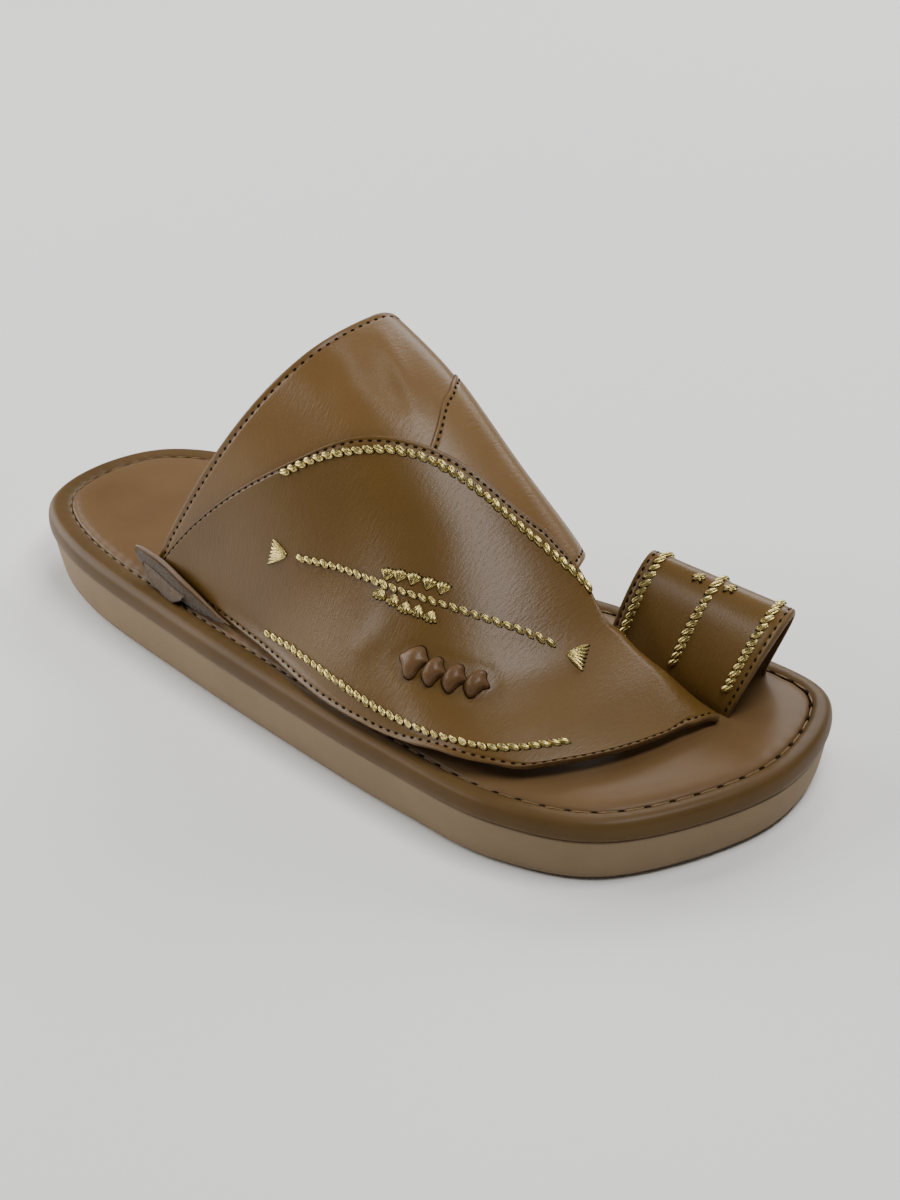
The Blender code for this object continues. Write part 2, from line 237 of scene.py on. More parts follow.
# Soft folds of the leather: points at stations and turns, half width and rise in millimetres
BAND_FOLDS = table(
    "half_width rise places",
    (2.0, 0.4, ((0.06, -0.007), (0.33, -0.019), (0.65, -0.050),
                (0.97, -0.090), (1.20, -0.121), (1.41, -0.150))),
    (4.5, -0.8, ((0.19, -0.060), (0.47, -0.090), (0.75, -0.133), (1.00, -0.150), (1.22, -0.149))),
    (3.5, 0.4, ((0.15, -0.130), (0.40, -0.169), (0.64, -0.234),
                (0.83, -0.216), (1.05, -0.199), (1.27, -0.171))),
)
LEAF_FOLDS = table(
    "half_width rise places",
    (4.0, 0.5, ((2.72, -0.56), (2.85, -0.66), (2.95, -0.78))),
    (7.0, -0.4, ((1.5, -0.45), (2.1, -0.4), (2.6, -0.34))),
)

# Gold embroidery on the leaf: station and turn of points along each line
UPPER_BRAID = ((0.92, -0.583), (1.06, -0.468), (1.24, -0.358), (1.47, -0.250), (1.79, -0.167),
               (2.18, -0.113), (2.57, -0.073), (2.92, -0.035), (3.30, 0.006), (3.46, 0.040))
LOWER_BRAID = ((2.09, -0.965), (2.56, -0.924), (2.96, -0.892), (3.32, -0.878), (3.70, -0.869),
               (4.23, -0.856), (4.58, -0.844), (5.03, -0.754), (5.22, -0.619), (5.27, -0.540),
               (5.35, -0.426))
MIDDLE_BRAID = ((1.71, -0.711), (2.01, -0.637), (2.32, -0.566), (2.61, -0.494),
                (2.90, -0.414), (3.21, -0.334), (3.52, -0.255), (3.82, -0.193))
UPPER_BUDS = ((2.40, -0.505), (2.47, -0.476), (2.56, -0.445), (2.67, -0.413), (2.77, -0.385))
LOWER_BUDS = ((2.52, -0.558), (2.64, -0.534), (2.76, -0.516), (2.85, -0.490), (2.96, -0.466))
# each fan: its apex, then both ends of the wide side
REAR_FAN = ((1.63, -0.730), (1.39, -0.733), (1.54, -0.796))
FRONT_FAN = ((3.98, -0.184), (4.02, -0.100), (4.31, -0.182))
LEAF_PITCH = (3.06, 3.06)  # spacing of the stitches at the two ends of a row
LOWER_PITCH = (3.9, 2.6)
RING_PITCH = (2.5, 2.5)
BRAID_TILT = np.radians(-28.0)  # stitches turn clockwise from their row
TILT_SPREAD = 0.07  # how single stitches differ in tilt, in radians, and in size
SIZE_SPREAD = 0.05
BRAID_LIFT = 0.25  # height of a stitch's middle line over the leather
STRAND_LIFT = 0.2  # the same for a laid thread
GOLD_HOLE_AT = 0.93  # place of the dark dome of painted hole shade at each end, as a share of the half length
GOLD_HOLE_DROP = 0.25  # how far the hole lies below the stitch's middle line
GOLD_HOLE_HALF = (0.55, 0.5, 0.16)
OUTER_GRAIN = (3.7, 1.65, 1.6)  # length, width and height of a stitch along the leaf's upper edge
MIDDLE_GRAIN = (3.4, 1.35, 1.3)
LOWER_GRAIN = (3.5, 1.4, 1.4)
RING_GRAIN = (3.9, 1.5, 1.4)
FAN_STRANDS = 7
FAN_STRAND = (0.85, 1.1)  # width and height of a laid thread
BUD_STRAND = (0.9, 1.4)
BUD_LENGTH = 3.6
BUD_ANGLES = np.radians((-32, -11, 11, 32))
FAN_BARE = 0.1  # share of a fan's length that is bare at its apex

# Gold on the toe ring: rows by their share from back to front, and two small crosses
RING_ROW_SHARES = (0.100, 0.50, 0.90)
RING_ROW_ENDS = (0.075, 0.925)  # shares from foot to foot
RING_TILT = np.radians(-33.0)
RING_CROSSES = ((0.45, 0.379), (0.47, 0.586))
CROSS_ANGLES = np.radians((12, 62, -38))
CROSS_ARM = 1.9
CROSS_STEP = 0.02  # share across the ring from which a cross takes its heading

# Threads as lenses of one unit half size: twist in radians, and how much thicker the tip is
GRAIN_SHAPE, PETAL_SHAPE, THREAD_SHAPE = table(
    "rings around ridges twist swell",
    (11, 32, 6, 1.6, 0.0),
    (11, 28, 6, 1.6, 0.45),
    (7, 8, 3, 4.0, 0.0),
)
RIDGE_DEPTH = 0.26
LENS_END = 0.995  # the lens is cut just short of its points
PIT_RINGS = ((1.0, -1.0), (0.8, 0.3), (0.4, 0.6))  # radius and height of each ring of the dome painted as a needle hole's shade
PIT_AROUND = 10

# Woven strip: each diamond's place on the leaf
DIAMONDS = ((3.32, -0.609), (3.51, -0.579), (3.69, -0.542), (3.87, -0.496))
# outlines in millimetres along the strip and up the leaf: the first diamond and the ones beside it
FIRST_DIAMOND = ((-4.7, 1.0), (-3.5, 2.4), (-1.7, 4.0), (0.3, 5.0), (1.7, 4.5),
                 (2.8, 2.9), (3.9, 1.5), (2.8, 0.1), (1.9, -1.6), (1.4, -3.5),
                 (0.0, -4.7), (-1.6, -4.1), (-3.0, -1.8), (-4.3, -0.2))
NEXT_DIAMOND = ((-3.1, -1.3), (-2.6, 1.3), (-1.6, 3.2), (-0.1, 4.3), (1.4, 3.8), (2.1, 2.2),
                (3.7, 0.5), (2.4, -0.8), (1.6, -2.2), (1.0, -3.7), (-0.3, -4.3), (-2.0, -3.1))
DIAMOND_OVAL = (2.3, 3.2)  # half sizes of its rounded top
SLIT_SHADE_SCALE = 1.07  # size of the dark plate painted as the shade in the slit round its diamond, and how far it stands out
SLIT_SHADE_RISE = 0.2
DIAMOND_RISE = 3.0
DIAMOND_POWER = 2.6
DIAMOND_DENT = 0.2  # the leaf's hollow round each diamond
DIAMOND_DENT_HALF = 1.6
DIAMOND_RADIUS = 5.4
PILLOW_AROUND = 72
PILLOW_RINGS = 18
PILLOW_SINK = 0.15  # how deep its foot stands in the leaf, as a share of its rise
PILLOW_TOP = 0.985  # where its rounding ends, just short of a point

# Tab of folded leather beside the outer slot, a little longer and taller than in the solids
TAB_STATIONS = table(
    "x y_inner y_outer height",
    (-77.0, -33.2, -34.4, 7.2),
    (-70.0, -34.4, -36.6, 8.8),
    (-60.0, -35.4, -39.0, 8.8),
    (-49.0, -37.2, -41.0, 7.3),
    (-39.0, -38.4, -41.2, 5.0),
    (-31.0, -39.4, -41.2, 3.0),
    (-25.0, -40.0, -41.0, 2.0),
)
# its layers: rows of the table that each spans, raggedness of the lower end, and corners as shares of
# the tab's thickness and height
TAB_LAYERS = table(
    "name first last ragged corners",
    ("tab_strip", 0.0, 6.0, 0.0,
     ((0.0, 0.25), (0.0, 0.97), (0.06, 1.0), (0.12, 0.99), (0.30, 0.86), (0.34, 0.80), (0.34, 0.3))),
    ("tab_split_layer", 0.05, 5.6, 0.1,
     ((0.34, 0.2), (0.34, 0.82), (0.40, 0.85), (0.50, 0.82), (0.70, 0.50), (0.74, 0.44), (0.70, 0.2))),
    ("tab_torn_layer", 1.0, 3.3, 0.35,
     ((0.66, 0.0), (0.66, 0.50), (0.76, 0.56), (0.86, 0.52), (1.0, 0.20), (1.05, 0.1), (1.0, 0.0))),
)
TAB_ROWS = 90
TAB_TAPER = 5.0  # how fast a layer gains its depth from both ends
TAB_RAGGED = 0.6  # step from row to row of a torn lower end

# Camera and lights
CAMERA_AZIMUTH = np.radians(49.5)
CAMERA_ELEVATION = np.radians(29.29)
CAMERA_ROLL = np.radians(-4.2)
CAMERA_DISTANCE = 916.0
CAMERA_TARGET = (0.0, 0.0, 20.0)
CAMERA_LENS = 93.42
CAMERA_SHIFT = (0.0496, 0.0133)
LIGHTS = table(
    "name place target width height power",  # metres and watts
    ("overhead_softbox", (0.45, 0.0, 0.95), (0.03, 0, 0.05), 0.60, 0.28, 7.4),
    ("crest_softbox", (-0.12, 0.12, 1.05), (0, 0, 0.05), 0.2, 0.2, 1.0),
    ("lateral_softbox", (-0.44, -0.62, 0.60), (0.09, 0.03, 0.05), 0.20, 0.20, 1.4),
    ("heel_side_softbox", (-1.20, -0.30, 0.50), (0, 0, 0.03), 1.1, 0.9, 18.0),
    ("back_softbox", (-0.30, 0.95, 0.68), (0.03, 0, 0.05), 1.0, 0.6, 10.0),
)
WORLD_STRENGTH = 0.09
FLOOR_HALF = 6.0  # metres


def smooth(rows, position):
    """Row values at fractional row numbers, on a smooth curve through the rows."""
    rows = np.asarray(rows, float)
    last = len(rows) - 1
    position = np.clip(np.asarray(position, float), 0, last)
    start = np.minimum(position.astype(int), last - 1)
    t = (position - start)[..., None]
    padded = np.vstack([2 * rows[0] - rows[1], rows, 2 * rows[-1] - rows[-2]])
    before, here, after, beyond = (padded[start + shift] for shift in range(4))
    linear = (after - before) * t
    square = (2 * before - 5 * here + 4 * after - beyond) * t ** 2
    cube = (3 * here - before - 3 * after + beyond) * t ** 3
    return here + 0.5 * (linear + square + cube)


def row_at(rows, position):
    """Named row of a table at fractional row numbers."""
    return rows[0]._make(np.moveaxis(smooth(rows, position), -1, 0))


def finer(rows, count):
    """A table's rows on a smooth curve with more samples."""
    return row_at(rows, np.linspace(0, len(rows) - 1, count))


def unit(vectors):
    return vectors / np.linalg.norm(vectors, axis=-1)[..., None]


def between(start, end, share):
    return start + (end - start) * share


def share_of(value, start, end):
    """How far a value has come from start to end, from 0 to 1."""
    return np.clip((value - start) / (end - start), 0, 1)


def eased(share):
    """A share that starts and ends gently."""
    return share * share * (3 - 2 * share)


def run_length(points):
    """Distance along a line of points, at each of them."""
    return np.r_[0.0, np.cumsum(np.linalg.norm(np.diff(points, axis=0), axis=1))]


def at_distance(points, distance, values=None):
    """Points at distances along a line of points, or other values that belong to its points."""
    run = run_length(points)
    columns = points.T if values is None else values.T
    return np.stack([np.interp(distance, run, column) for column in columns], axis=-1)


# Surfaces


def toe_share(x):
    """Runs from 0 at the heel's end to 1 at the toe's."""
    return x / SOLE_LENGTH + 0.5


def rim_top(x):
    return between(*RIM_TOP, toe_share(x))


def insole_top(x):
    return rim_top(x) + INSOLE_CROWN


def groove_inset(x):
    return between(*GROOVE_INSET, toe_share(x))


def sole_outline():
    """Evenly spaced points round the sole's edge and their outward directions."""
    lateral = [(row.from_heel, -row.lateral) for row in SOLE_STATIONS]
    medial = [(row.from_heel, row.medial) for row in SOLE_STATIONS]
    loop = [(0.0, 0.0), *lateral, (SOLE_LENGTH, TOE_TIP_SIDE), *reversed(medial)]
    wrapped = loop[-3:] + loop + loop[:4]
    fine = smooth(wrapped, np.linspace(3, 3 + len(loop), OUTLINE_SAMPLES))
    even = np.linspace(0, run_length(fine)[-1], SOLE_POINTS, endpoint=False)
    points = at_distance(fine, even)
    tangent = np.roll(points, -1, axis=0) - np.roll(points, 1, axis=0)
    outward = unit(np.c_[tangent[:, 1], -tangent[:, 0]])
    points[:, 0] -= SOLE_LENGTH / 2
    return points, outward


OUTLINE, OUTWARD = sole_outline()


def sole_ring(inset, height):
    """The sole's outline moved inwards, at a height for each point."""
    inset = np.broadcast_to(inset, len(OUTLINE))
    moved = OUTLINE - OUTWARD * inset[:, None]
    return np.c_[moved, height(moved[:, 0])]


def arch_point(station, turn):
    """Point on the foot side of the upper at a station and a turn round its arch."""
    row = row_at(UPPER_STATIONS, station)
    power = 2 / row.roundness
    angle = turn * np.pi / 2
    out = np.abs(np.sin(angle)) ** power
    up = np.abs(np.cos(angle)) ** power
    medial = turn > 0
    x_side = np.where(medial, row.x_medial, row.x_lateral)
    y_side = np.where(medial, row.y_medial, row.y_lateral)
    lift = np.where(medial, 0.0, row.lift) + SEAT_GAP
    x = x_side + (row.x_crest - x_side) * up
    y = row.y_crest + (y_side - row.y_crest) * out
    z = insole_top(x) + lift + (row.height - lift) * up
    return np.stack([x, y, z], axis=-1)


def arch_normal(station, turn):
    """Outward direction of the arch, from two short steps along it and never downwards."""
    step = NORMAL_STEP
    station = np.clip(station, step, len(UPPER_STATIONS) - 1 - step)
    turn = np.clip(turn, -1 + 1.5 * step, 1 - 1.5 * step)
    along = arch_point(station + step, turn) - arch_point(station - step, turn)
    round_arch = arch_point(station, turn + step) - arch_point(station, turn - step)
    normal = np.cross(along, round_arch)
    normal[..., 2] = np.maximum(normal[..., 2], 0.0)
    return unit(normal)


def layer_at(piece, station):
    """Height of a panel's inner face over the foot, which settles past the panels under it."""
    settled = eased(share_of(station, *SETTLES))
    return between(piece.layer, piece.front_layer, settled)


def hem(station, across):
    """How far the leaf's lower edge leans out and down from the arch."""
    near_edge = eased(share_of(across, HEM_START, 1.0))
    reach = share_of(station, *HEM_GROWS) * share_of(station, *HEM_FADES)
    return (near_edge * reach)[..., None] * np.array([0.0, -HEM_FLARE, -HEM_DROP])


def panel_surface(piece):
    """Inner face and outward direction of a panel, by shares along and across it."""
    def surface(along, across):
        edge = row_at(piece.edges, along * (len(piece.edges) - 1))
        station = edge.back_station * (1 - across) + edge.front_station * across
        turn = np.clip(edge.back_turn * (1 - across) + edge.front_turn * across, -1.0, 1.0)
        normal = arch_normal(station, turn)
        points = arch_point(station, turn) + layer_at(piece, station)[..., None] * normal
        if piece is LEAF:
            points += hem(station, across)
        return points, normal
    return surface


def ring_surface(along, across):
    """Inner face and outward direction of the toe ring, from foot to foot and from back to front."""
    row = row_at(RING_STATIONS, across * (len(RING_STATIONS) - 1))
    angle = (along - 0.5) * np.pi
    x_middle = (row.x_lateral + row.x_medial) / 2
    y_middle = (row.y_lateral + row.y_medial) / 2
    x_half = row.x_medial - x_middle
    y_half = row.y_medial - y_middle
    up = np.cos(angle)
    faces = []
    for shrink in (RING_WALL, 0.0):
        out = np.sin(angle) * (1 - shrink / np.hypot(x_half, y_half))
        x = x_middle + x_half * out + (row.x_crest - x_middle) * up
        y = y_middle + y_half * out + (row.y_crest - y_middle) * up
        z = insole_top(x) + SEAT_GAP + (row.height - shrink) * up
        faces.append(np.stack([x, y, z], axis=-1))
    return faces[0], unit(faces[1] - faces[0])


def leaf_face(places):
    """Points on the leaf's outer face and its outward directions, at stations and turns."""
    station, turn = np.asarray(places, float).T
    normal = arch_normal(station, turn)
    over = layer_at(LEAF, station) + LEAF.wall
    return arch_point(station, turn) + over[..., None] * normal, normal


# Meshes


def new_piece(name, vertices, faces, materials, picks=None):
    """Smooth mesh that rides on the sandal, with a material for each face."""
    data = bpy.data.meshes.new(name)
    data.from_pydata((np.asarray(vertices) * MM).tolist(), [], [list(face) for face in faces])
    for material in materials:
        data.materials.append(material)
    if picks is not None:
        data.polygons.foreach_set("material_index", np.asarray(picks, np.int32))
    data.shade_smooth()
    data.update()
    piece = bpy.data.objects.new(name, data)
    bpy.context.scene.collection.objects.link(piece)
    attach(piece, "root")
    return piece


def ring_faces(rings, around):
    """Faces between neighbouring rings of points."""
    index = np.arange(rings * around).reshape(rings, around)
    after = np.roll(index, -1, axis=1)
    corners = (index[:-1], after[:-1], after[1:], index[1:])
    return np.stack(corners, axis=-1).reshape(-1, 4)


def loft(rings):
    """Vertices and faces of a closed form through rings, with a cap at both ends."""
    count = len(rings[0])
    last = (len(rings) - 1) * count
    faces = ring_faces(len(rings), count).tolist()
    faces.append(list(range(count))[::-1])
    faces.append(list(range(last, last + count)))
    return np.vstack(rings), faces


def edge_spacing(length, count):
    """Distances over a width: close together at both edges and even between them."""
    edge = EDGE_STEPS * min(1.0, EDGE_WIDEST * length / EDGE_STEPS[-1])
    middle = np.linspace(edge[-1], length - edge[-1], count + 2)[1:-1]
    return np.r_[edge, middle, length - edge[::-1]]


Grid = namedtuple("Grid", "along across from_side from_end")


def sheet_grid(surface, rows, columns):
    """Shares along and across a sheet, with each point's distance from its sides and ends."""
    fine = np.linspace(0, 1, FINE)
    run = run_length(surface(fine, np.full(FINE, 0.5))[0])
    from_start = edge_spacing(run[-1], rows)
    along = np.interp(from_start, run, fine)
    across = []
    from_side = []
    for share in along:
        run = run_length(surface(np.full(FINE, share), fine)[0])
        distance = edge_spacing(run[-1], columns)
        across.append(np.interp(distance, run, fine))
        from_side.append(np.minimum(distance, run[-1] - distance))
    across = np.array(across)
    from_end = np.minimum(from_start, from_start[-1] - from_start)
    along, from_end = (np.broadcast_to(row[:, None], across.shape) for row in (along, from_end))
    return Grid(along, across, np.array(from_side), from_end)


def edge_share(distance):
    """Share of the wall that is left near a rounded cut edge."""
    inward = np.clip(1 - distance / EDGE_ROUND, 0, 1)
    return (1 - inward ** EDGE_POWER) ** (1 / EDGE_POWER)


def sheet_faces(rows, columns):
    """Faces of a closed sheet: its outer skin, then its inner skin, which share the border."""
    outer = np.arange(rows * columns).reshape(rows, columns)
    inner = outer + rows * columns
    for border in (np.s_[0, :], np.s_[-1, :], np.s_[:, 0], np.s_[:, -1]):
        inner[border] = outer[border]
    skins = []
    for index in (outer, inner[:, ::-1]):
        corners = (index[:-1, :-1], index[1:, :-1], index[1:, 1:], index[:-1, 1:])
        skins.append(np.stack(corners, axis=-1).reshape(-1, 4))
    return np.vstack(skins)


def leather_sheet(name, surface, wall, grid, relief, materials):
    """Leather sheet with rounded painted edges: grain side, painted edge and lining."""
    base, normal = surface(grid.along, grid.across)
    near = np.minimum(grid.from_side, grid.from_end)
    half = wall / 2 * edge_share(near)
    middle = base + (wall / 2) * normal
    outer = middle + (half + relief)[..., None] * normal
    inner = middle - half[..., None] * normal
    faces = sheet_faces(*near.shape)
    painted = near[:-1, :-1] + near[1:, 1:] < 2 * PAINTED_EDGE
    picks = np.r_[np.where(painted.ravel(), 1, 0), np.where(painted[:, ::-1].ravel(), 1, 2)]
    vertices = np.vstack([outer.reshape(-1, 3), inner.reshape(-1, 3)])
    used = np.unique(faces)
    renumber = np.zeros(len(vertices), int)
    renumber[used] = np.arange(len(used))
    piece = new_piece(name, vertices[used], renumber[faces], materials, picks)
    return piece, outer, normal


def stitch_trough(grid, back, front):
    """Shallow trough in which the rows of stitches beside both edges lie."""
    inset = np.where(grid.across < 0.5, back.inset, front.inset)
    apart = (grid.from_side - inset) / STITCH_TROUGH_HALF
    return -STITCH_TROUGH * np.exp(-apart ** 2)


def fold_relief(points, folds):
    """Soft ridges and troughs along lines of the foot side, fading towards their ends."""
    relief = np.zeros(points.shape[:2])
    for fold in folds:
        line = smooth(fold.places, np.linspace(0, len(fold.places) - 1, FOLD_SAMPLES))
        path = arch_point(line[:, 0], line[:, 1])
        apart = np.linalg.norm(points[:, :, None] - path, axis=-1)
        nearest = apart.argmin(axis=-1)
        fade = np.sin(np.pi * (nearest + 0.5) / len(path))
        relief += fold.rise * fade * np.exp(-(apart.min(axis=-1) / fold.half_width) ** 2)
    return relief


def diamond_dents(points):
    """Hollow that the woven strip presses into the leaf round each diamond."""
    relief = np.zeros(points.shape[:2])
    for station, turn in DIAMONDS:
        centre = arch_point(np.array(station), np.array(turn))
        from_rim = np.linalg.norm(points - centre, axis=-1) - DIAMOND_RADIUS
        dent = DIAMOND_DENT * np.exp(-(from_rim / DIAMOND_DENT_HALF) ** 2)
        relief = np.minimum(relief, -dent)
    return relief


def stamped(form, places):
    """Copies of a small form, each with its centre and its three scaled directions."""
    vertices, faces = form
    points = [centre + vertices @ axes for centre, axes in places]
    copies = [faces + k * len(vertices) for k in range(len(places))]
    return np.vstack(points), np.vstack(copies)


def capsule(rings, around, ridges, twist, swell):
    """Lens of one unit half size with twisted ridges along it, as laid thread has."""
    t = np.sin(np.linspace(-1, 1, rings) * np.pi / 2)[:, None] * LENS_END
    angle = np.linspace(0, 2 * np.pi, around, endpoint=False)
    radius = (1 - t ** 2) ** 0.5 * (1 + swell * t)
    radius = radius * (1 + RIDGE_DEPTH * np.cos(ridges * angle + twist * t))
    x = np.broadcast_to(t, radius.shape)
    vertices = np.stack([x, radius * np.cos(angle), radius * np.sin(angle)], axis=-1)
    return vertices.reshape(-1, 3), ring_faces(rings, around)


def pit():
    """Small shallow dome of one unit half size, painted dark as the shade inside a needle hole."""
    angle = np.linspace(0, 2 * np.pi, PIT_AROUND, endpoint=False)
    circle = np.c_[np.cos(angle), np.sin(angle), 0 * angle]
    rings = [radius * circle + (0, 0, height) for radius, height in PIT_RINGS]
    sides = ring_faces(len(rings), PIT_AROUND)
    top = len(sides)
    lid = [(top, top + i, top + i + 1, top + i + 2) for i in range(1, PIT_AROUND - 2, 2)]
    return np.vstack(rings), np.vstack([sides, lid])


GRAIN = capsule(*GRAIN_SHAPE)
PETAL = capsule(*PETAL_SHAPE)
PLAIN_THREAD = capsule(*THREAD_SHAPE)
PIT = pit()


def axes_on(normal, along, sizes):
    """Three directions along, beside and out of a surface, scaled to half sizes."""
    beside = unit(np.cross(normal, along))
    forward = np.cross(beside, normal)
    return np.stack([forward * sizes[0], beside * sizes[1], normal * sizes[2]])


def sewn(name, form, places, material):
    """One mesh of a small form at many places on the leather."""
    piece = new_piece(name, *stamped(form, places), [material])


def walk(points, normals, first, last):
    """Places along a line on a surface, with spacing that changes evenly from first to last."""
    length = run_length(points)[-1]
    count = max(int(2 * length / (first + last)), 1)
    edges = np.r_[0, np.cumsum(np.linspace(first, last, count))]
    distance = (edges[:-1] + edges[1:]) / 2 * length / edges[-1]
    here = at_distance(points, distance)
    outward = unit(at_distance(points, distance, normals))
    ahead = at_distance(points, distance + LOOK_AHEAD) - at_distance(points, distance - LOOK_AHEAD)
    return list(zip(here, outward, unit(ahead)))


# Materials: pores and fibres are drawn coarser than real ones, so that they show


def linear(code):
    """Linear colour of an sRGB hex value."""
    values = np.array([int(code[i:i + 2], 16) for i in (1, 3, 5)]) / 255
    low = values / 12.92
    high = ((values + 0.055) / 1.055) ** 2.4
    return (*np.where(values <= 0.04045, low, high), 1.0)


def per_mm(size):
    """Texture scale for a pattern of this size in millimetres, in coordinates that are metres."""
    return 1 / (size * MM)


def add(tree, kind, links=None, **settings):
    """A node with its settings, input values and links."""
    node = tree.nodes.new("ShaderNode" + kind)
    for name, value in settings.items():
        setattr(node, name, value)
    for name, value in (links or {}).items():
        socket = node.inputs[name]
        if isinstance(value, bpy.types.NodeSocket):
            tree.links.new(value, socket)
        else:
            socket.default_value = value
    return node


Pattern = namedtuple("Pattern", "kind inputs settings")
PLAIN = Pattern("TexNoise", {}, {})
SOFT = Pattern("TexNoise", {"Detail": 3.0}, {})
CLOUDY = Pattern("TexNoise", {"Detail": 4.0}, {})
MOULDED = Pattern("TexNoise", {"Detail": 6.0, "Roughness": 0.65}, {})
FIBROUS = Pattern("TexNoise", {"Detail": 7.0, "Roughness": 0.7}, {})
CREASED = Pattern("TexNoise", {"Detail": 4.0, "Distortion": 0.5}, {})
PORES = Pattern("TexVoronoi", {}, {"feature": "DISTANCE_TO_EDGE"})
PEBBLES = Pattern("TexVoronoi", {}, {"feature": "SMOOTH_F1"})


def drawn(tree, place, pattern, size):
    """Values of a pattern at its size in millimetres, or stretched to sizes along X, Y and Z."""
    scale = per_mm(np.array(size, float))
    if scale.ndim:
        place = add(tree, "Mapping", {"Vector": place, "Scale": tuple(scale)}).outputs["Vector"]
        scale = 1.0
    inputs = {"Vector": place, "Scale": float(scale), **pattern.inputs}
    return add(tree, pattern.kind, inputs, **pattern.settings).outputs[0]


def finish(name, colours, cloud, *reliefs, spread=(0.3, 0.7), over=("Normal",), **values):
    """Material whose colour runs from dark to light over a cloud, with reliefs one over the other.

    The cloud is a pattern and its size, a relief is a pattern, its size, its strength and its depth.
    """
    material = bpy.data.materials.new(name)
    material.use_nodes = True
    tree = material.node_tree
    shader = tree.nodes["Principled BSDF"]
    for socket, value in values.items():
        shader.inputs[socket.replace("_", " ")].default_value = value
    place = add(tree, "TexCoord").outputs["Object"]
    shades = add(tree, "ValToRGB", {"Fac": drawn(tree, place, *cloud)})
    for element, position, code in zip(shades.color_ramp.elements, spread, colours):
        element.position = position
        element.color = linear(code)
    tree.links.new(shades.outputs["Color"], shader.inputs["Base Color"])
    below = {}
    for pattern, size, strength, depth in reliefs:
        height = drawn(tree, place, pattern, size)
        inputs = {"Height": height, "Strength": strength, "Distance": depth * MM}
        normal = add(tree, "Bump", {**inputs, **below}).outputs["Normal"]
        below = {"Normal": normal}
        for socket in over:
            tree.links.new(normal, shader.inputs[socket])
    return material


# Polished calf: a clear glaze over fine pores gives broad bright sheens and deep brown
# one calf in two tones: a lighter copy with painted light for the brighter band and medial panel, and a
# darker one with painted shade for the leaf and ring
CALF, LIT_BAND_CALF = (
    finish(name, colours, (CLOUDY, 38), (PORES, 0.9, 0.15, 0.2), (CREASED, (0.6, 2.8, 2.8), 0.3, 0.3),
           over=("Normal", "Coat Normal"), Roughness=0.5, Specular_IOR_Level=0.08,
           Coat_Weight=0.46, Coat_Roughness=0.32)
    for name, colours in (("glazed_calf_leather", ("#5c421a", "#674c22")),
                          ("lit_band_calf_leather", ("#6a4d27", "#75582f"))))
# Satin leather, pressed flat: smooth, so that it reflects softly
RIM_LEATHER, STRIP_LEATHER, SOCK_LEATHER = (
    finish(name, colours, (CLOUDY, 30), (PORES, 0.6, 0.08, 0.2), Roughness=roughness,
           Specular_IOR_Level=0.1, Coat_Weight=coat, Coat_Roughness=0.3)
    for name, colours, roughness, coat in (
        ("wrapped_rim_leather", ("#533e22", "#5d4729"), 0.45, 0.08),
        ("folded_strip_leather", ("#5d432a", "#694e32"), 0.4, 0.2),
        ("padded_sock_leather", ("#624a2e", "#6d5437"), 0.42, 0.08)))
# Drummed lining leather: soft, matte and evenly pebbled
LINING = finish("drummed_lining_leather", ("#5f482c", "#6d5436"), (SOFT, 25), (PEBBLES, 1.1, 0.25, 0.3),
                Roughness=0.6, IOR=1.45)
# Cut leather sealed with satin edge paint: close to the colour of the grain side
EDGE_PAINT = finish("painted_leather_edge", ("#5c4528", "#6a5131"), (SOFT, 6), (SOFT, 6, 0.15, 0.2),
                    spread=(0.35, 0.65), Roughness=0.5, Specular_IOR_Level=0.2)
# Raw flesh side and cut of split leather: fibres that catch no light
SPLIT, TORN = (
    finish(name, colours, (FIBROUS, 1.2), (FIBROUS, 1.2, 0.8, 0.6), Roughness=0.95, IOR=1.4,
           Sheen_Weight=0.2)
    for name, colours in (("raw_split_leather", ("#35291b", "#564633")),
                          ("torn_flesh_side_leather", ("#4b3a27", "#68543d"))))
# Moulded foam: dull, with a fine even pitting from the mould and faint cloudiness
FOAM = finish("moulded_foam", ("#826e53", "#897458"), (MOULDED, 14), (SOFT, 0.9, 0.3, 0.3),
              Roughness=0.78, IOR=1.45)
# Metallised thread: many flat glints along the twist, with olive shade between strands
GOLD = finish("gold_metallised_thread", ("#8a7338", "#e6d590"), (CLOUDY, 0.45), (CLOUDY, 0.45, 0.25, 0.3),
              Roughness=0.3, Metallic=1.0)
# Waxed brown thread: twisted, dull with a faint gloss
THREAD = finish("waxed_sewing_thread", ("#634b26", "#775d34"), (SOFT, 0.5), (SOFT, 0.5, 0.4, 0.2),
                Roughness=0.55, IOR=1.5)
# Painted shade: near-black brown domes that stand for the shade inside needle holes, slots and slits
HOLE_SHADE = finish("needle_hole_shade", ("#130c06", "#24180d"), (PLAIN, 0.6), Roughness=0.9, Specular_IOR_Level=0.1)
# Painted studio floor: pale, matte and almost even
FLOOR = finish("pale_studio_floor", ("#f0efed", "#f3f2f0"), (PLAIN, 500), Roughness=0.9)


# Sole pieces


def groove_stitches():
    """Places of the needle holes round the groove, as distances along the outline."""
    loop = np.vstack([OUTLINE, OUTLINE[:1]])
    run = run_length(loop)
    holes = [0.0]
    while holes[-1] < run[-1] - GROOVE_STITCH[0]:
        x = np.interp(holes[-1], run, loop[:, 0])
        toe = share_of(x, *WIDER_STITCHES)
        holes.append(holes[-1] + between(*GROOVE_STITCH, toe))
    return np.array(holes[:-1]), run


HOLE_RUN, OUTLINE_RUN = groove_stitches()


def groove_depth(x):
    return between(*GROOVE_DEPTH, toe_share(x))


def seam_height(x):
    """Height of the groove's seam, which is drawn under the leather towards the heel."""
    sink = SEAM_SINK * share_of(toe_share(x), SEAM_SHOWS, 0.0)
    return rim_top(x) - SEAM_BELOW * groove_depth(x) - sink


def insole_height(x, over):
    """Height of the insole's edge at a distance over the rim, which sinks no deeper than the groove."""
    return rim_top(x) + over * (groove_depth(x) if over < 0 else 1.0)


